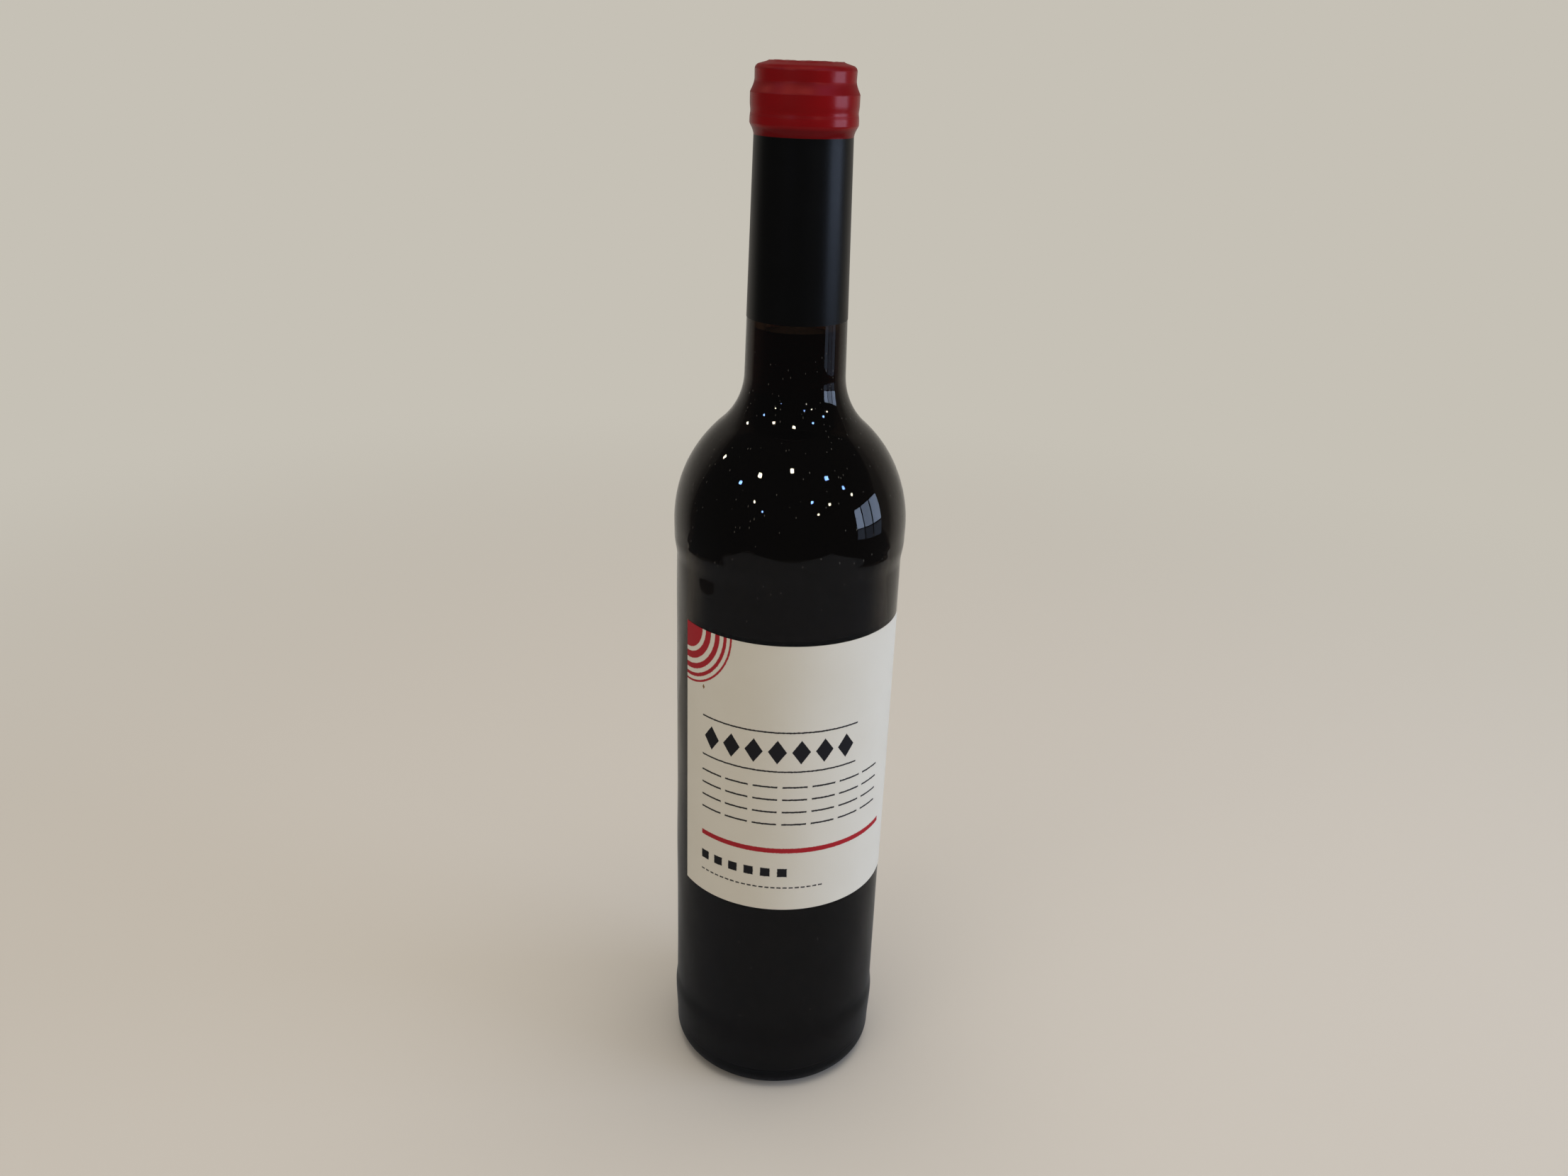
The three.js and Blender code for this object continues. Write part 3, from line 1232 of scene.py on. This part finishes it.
@dataclass(frozen=True)
class PortraitCamera:
    """The camera at the photograph's viewing angle, found by fitting the label's edges and the outline.

    Angles are in degrees: azimuth about the axis from -Y towards +X, pitch down, yaw to the right and roll
    about the view. The focal length is in pixels of the photograph, the sensor's width in millimetres.
    """

    azimuth: float = -18.3
    distance: float = 391.8 * MM
    height: float = 341.4 * MM
    pitch: float = 22.702
    yaw: float = -0.162
    roll: float = 1.998
    focal_pixels: float = 1835.4
    image_width: int = 2212
    sensor_width: float = 36
    nearest: float = 10 * MM

    @property
    def turn(self) -> Matrix:
        """Turn about Z that brings -Y to the camera's side of the bottle."""
        return Matrix.Rotation(math.radians(self.azimuth), 4, "Z")

    def build(self) -> None:
        """Make the camera and hand it to the scene."""
        pitch, yaw, roll = (math.radians(angle) for angle in (self.pitch, self.yaw, self.roll))
        turns = ((-yaw, "Z"), (RIGHT_ANGLE - pitch, "X"), (roll, "Z"))
        pose = Matrix.Translation((0, -self.distance, self.height))
        for angle, axis in turns:
            pose = pose @ Matrix.Rotation(angle, 4, axis)
        lens = bpy.data.cameras.new("portrait")
        lens.sensor_width = self.sensor_width
        lens.lens = self.sensor_width * self.focal_pixels / self.image_width
        lens.clip_start = self.nearest
        camera = add_object("portrait", lens)
        camera.matrix_world = self.turn @ pose
        bpy.context.scene.camera = camera


class Tone(Enum):
    """How a stage surface gives light back."""

    MATT = "BsdfDiffuse"
    GLOW = "Emission"


class Blend(Enum):
    """How a stage surface turns from one tone into the other."""

    EVEN = "LINEAR"
    SOFT = "SMOOTHSTEP"


@dataclass(frozen=True)
class StageFinish(Finish):
    """A plain surface of paper, cloth or a lit screen, which turns from a near tone into a far one.

    Attributes:
        near: Kind and colour of the near tone.
        far: Kind and colour of the far tone.
        fade: Distances from the axis, or depths, at which the turn starts and ends.
        blend: How the one turns into the other.
        turn: Turn about Z to the camera's side, in radians, where depth counts and not distance.
        grain_height: Height of the grain in a near tone that is matt.
    """

    name: str
    near: tuple[Tone, str]
    far: tuple[Tone, str]
    fade: Pair
    blend: Blend = Blend.SOFT
    turn: float | None = None
    grain_size: float = 1.5 * MM
    grain_height: float = 0.0

    def skin(self, node: Adder) -> Socket:
        """Mix the tones by distance or depth.

        Args:
            node: Adds a node.

        Returns:
            The shader.
        """
        place = {"Vector": node("TexCoord", out="Object")}
        if self.turn is None:
            away = node("VectorMath", {"operation": "LENGTH"}, place)
        else:
            seen = node("VectorRotate", {"rotation_type": "Z_AXIS", "Angle": self.turn}, place)
            away = node("SeparateXYZ", links={"Vector": seen}, out="Y")
        start, end = self.fade
        change = {"interpolation_type": self.blend.value, "From Min": start, "From Max": end}
        share = node("MapRange", change, {"Value": away})
        normal = {}
        if self.grain_height:
            grain = node("TexNoise", {"Scale": 1 / self.grain_size}, place)
            normal["Normal"] = node("Bump", {"Distance": self.grain_height}, {"Height": grain})
        near = node(self.near[0].value, {"Color": linear(self.near[1])}, normal)
        far = node(self.far[0].value, {"Color": linear(self.far[1])})
        return node("MixShader", links={0: share, 1: near, 2: far})


@dataclass(frozen=True)
class Stage:
    """A pale floor that fades into the background, and what the bottle mirrors of a table and a dim room.

    The camera sees the floor and the background alone. Reflections see a table top that is shaded towards
    the camera, a low pale screen behind it, and a dim room past them.
    Places are given as seen from the camera: X to its right, Y away from it, Z up from the table.
    """

    turn: Matrix
    backdrop: str = "#C6C1B6"
    paper: str = "#D2CCC3"
    cloth: tuple[str, str] = ("#6F7175", "#A8A49C")
    screen: tuple[str, str] = ("#B4AFA6", "#5C5A56")
    soft_light: str = "#FFFDF9"
    floor_reach: float = 4.0
    floor_fade: Pair = (0.25, 0.9)
    floor_grain: float = 0.01 * MM
    shade_start: float = -0.05
    table_low: Triple = (-0.45, -0.53, 0.2 * MM)
    table_high: Triple = (0.47, 0.23, 0.2 * MM)
    screen_low: float = -0.72
    screen_high: float = 1.6
    screen_height: float = 0.6
    ambient: float = 0.34
    room: float = 0.05

    def quad(self, name: str, finish: Finish, low: Triple, high: Triple) -> bpy.types.Object:
        """Make a flat stage object of four corners, given as seen from the camera.

        Args:
            name: Name of the object.
            finish: What it is made of.
            low: First corner. The second lies from it along X.
            high: Third corner. The fourth lies from it along X.

        Returns:
            The object.
        """
        corners = (low, (high[0], *low[1:]), high, (low[0], *high[1:]))
        mesh = bpy.data.meshes.new(name)
        mesh.from_pydata([self.turn @ Vector(corner) for corner in corners], [], [(0, 1, 2, 3)])
        flat = add_object(name, mesh)
        mesh.materials.append(finish.material())
        return flat

    def build(self) -> None:
        """Make the floor, what reflections see of table and screen, and the room."""
        reach, back = self.floor_reach, self.table_high[1]
        near, far = (Tone.MATT, self.paper), (Tone.GLOW, self.backdrop)
        paper = StageFinish("pale_floor_paper", near, far, self.floor_fade, grain_height=self.floor_grain)
        floor = self.quad("floor", paper, (-reach, -reach, 0), (reach, reach, 0))
        floor.visible_glossy = False
        floor.visible_transmission = False
        near, far = ((Tone.MATT, colour) for colour in self.cloth)
        turn = -self.turn.to_euler().z
        cloth = StageFinish("table_cloth_in_shade", near, far, (self.shade_start, back), turn=turn)
        table = self.quad("mirrored_table", cloth, self.table_low, self.table_high)
        middle, side = ((Tone.GLOW, colour) for colour in self.screen)
        pale = StageFinish("pale_screen", middle, side, (back, -self.screen_low), Blend.EVEN)
        right, left = (self.screen_high, back, 0), (self.screen_low, back, self.screen_height)
        screen = self.quad("mirrored_screen", pale, right, left)
        for mirrored in (table, screen):
            mirrored.visible_camera = False
            mirrored.visible_diffuse = False
            mirrored.visible_shadow = False
        self.build_room()
        bpy.context.scene.view_settings.view_transform = "Standard"

    def build_room(self) -> None:
        """Make the world: pale to the camera, soft light on matt surfaces and dim in reflections."""
        world = bpy.data.worlds.new("room")
        node = fresh_nodes(world)
        to_camera = node("LightPath", out="Is Camera Ray")
        to_matt = to_camera.node.outputs["Is Diffuse Ray"]
        pale = node("Background", {"Color": linear(self.backdrop)})
        soft = node("Background", {"Color": linear(self.soft_light), "Strength": self.ambient})
        dim = node("Background", {"Color": linear(WHITE), "Strength": self.room})
        lit = node("MixShader", links={0: to_matt, 1: dim, 2: soft})
        seen = node("MixShader", links={0: to_camera, 1: lit, 2: pale})
        node("OutputWorld", links={"Surface": seen})
        bpy.context.scene.world = world


@dataclass(frozen=True)
class Lamp:
    """An area lamp that points at a target, placed as seen from the camera.

    Attributes:
        in_gloss: Whether it shows in reflections.
        on_matt: Whether it lights matt surfaces.
    """

    name: str
    place: Triple
    size: Pair
    watts: float
    colour: str
    in_gloss: bool = True
    on_matt: bool = True
    target: Triple = (0, 0, 0.15)

    def build(self, turn: Matrix) -> None:
        """Make the lamp.

        Args:
            turn: Turn about Z from the camera's side to the bottle's frame.
        """
        light = bpy.data.lights.new(self.name, "AREA")
        light.shape = "RECTANGLE"
        light.size, light.size_y = self.size
        light.energy = self.watts
        light.color = linear(self.colour)[:3]
        lamp = add_object(self.name, light)
        aim = Vector(self.target) - Vector(self.place)
        pose = aim.to_track_quat("-Z", "Y").to_matrix().to_4x4()
        pose.translation = self.place
        lamp.matrix_world = turn @ pose
        lamp.visible_camera = False
        lamp.visible_glossy = self.in_gloss
        lamp.visible_diffuse = self.on_matt
        lamp.visible_transmission = False


class SpotColour(Enum):
    """Colours of the small ceiling spots."""

    WARM = "#FFEFD0"
    BLUE = "#7FA8FF"


@dataclass(frozen=True)
class Lighting:
    """Soft studio lamps, a window on the right and a grid of small ceiling spots that only show in gloss.

    The soft lamps don't show in reflections.

    Attributes:
        ceiling: Rows of spots, where W is a warm one, B a blue one and a dot a gap.
        spot_spacing: Way from one spot to the next, along a row and from row to row.
        window: Place of the window to the right of the camera and away from it.
        pane_shares: Share of its row's power that each pane gives.
        pane_rows: Middle, height and power of each row of panes.
    """

    turn: Matrix
    soft: tuple[Lamp, ...] = (
        Lamp("soft_top", (0.1, 0.0, 1.7), (1.4, 1.4), 16, "#FFF8EE", in_gloss=False),
        Lamp("front_fill", (-0.9, -1.3, 0.9), (1.2, 1.2), 3.5, "#FFF4E6", in_gloss=False),
        Lamp("side_fill", (1.5, -0.3, 0.3), (0.9, 0.4), 10.5, "#CFE1FF", in_gloss=False),
    )
    ceiling: tuple[str, ...] = ("W.....", "BWWBBW", "W..BW.", "B...W.")
    ceiling_height: float = 1.8
    first_spot: Pair = (-2.32, 0.5)
    spot_spacing: Pair = (1.18, -1.65)
    spot_size: float = 0.14
    spot_watts: float = 3.0
    spot_target: Triple = (0, 0, 0.22)
    window: Pair = (1.5, -0.2)
    daylight: str = "#C8DCFF"
    pane_shares: tuple[float, ...] = (1.3, 0.8, 1.0)
    pane_width: float = 0.25
    pane_gap: float = 0.035
    pane_rows: tuple[Triple, ...] = ((0.345, 0.39, 1.05), (0.03, 0.2, 0.06))

    def build(self) -> None:
        """Make every lamp."""
        for lamp in (*self.soft, *self.panes(), *self.spots()):
            lamp.build(self.turn)

    def panes(self) -> list[Lamp]:
        """Lay out the panes of the window: a bright row, and a dim one below it.

        Returns:
            One lamp for each pane, which faces straight across.
        """
        x, middle = self.window
        step = self.pane_width + self.pane_gap
        offset = (len(self.pane_shares) - 1) / 2
        lamps = []
        for row, (height, tall, watts) in enumerate(self.pane_rows):
            for column, share in enumerate(self.pane_shares):
                y = (column - offset) * step + middle
                name, size = f"window_pane_{row}_{column}", (self.pane_width, tall)
                across = (0, y, height)
                lamps.append(Lamp(name, (x, y, height), size, watts * share, self.daylight, target=across))
        return lamps

    def spots(self) -> list[Lamp]:
        """Lay out the ceiling spots on their grid.

        Returns:
            One lamp for each spot.
        """
        colours = {"W": SpotColour.WARM.value, "B": SpotColour.BLUE.value}
        size = (self.spot_size, self.spot_size)
        (x, y), (along, back) = self.first_spot, self.spot_spacing
        return [
            Lamp(
                f"spot_{row}_{column}",
                (x + column * along, y + row * back, self.ceiling_height),
                size,
                self.spot_watts,
                colours[letter],
                on_matt=False,
                target=self.spot_target,
            )
            for row, letters in enumerate(self.ceiling)
            for column, letter in enumerate(letters)
            if letter in colours
        ]


def main() -> None:
    """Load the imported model, build and dress each piece, and set the stage."""
    logging.basicConfig(level=logging.INFO)
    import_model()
    camera = PortraitCamera()
    camera.build()
    drawing = BottleDrawing.from_frame()
    glass = GlassBottle(drawing)
    for part in (glass, WineFill(drawing), ShrinkCapsule(drawing), PaperLabel(drawing), DustFlecks(glass)):
        part.build()
        part.dress()
        LOG.info("%s: %d faces", part.piece.name, len(part.piece.data.polygons))
    Stage(camera.turn).build()
    Lighting(camera.turn).build()


if __name__ == "__main__":
    main()
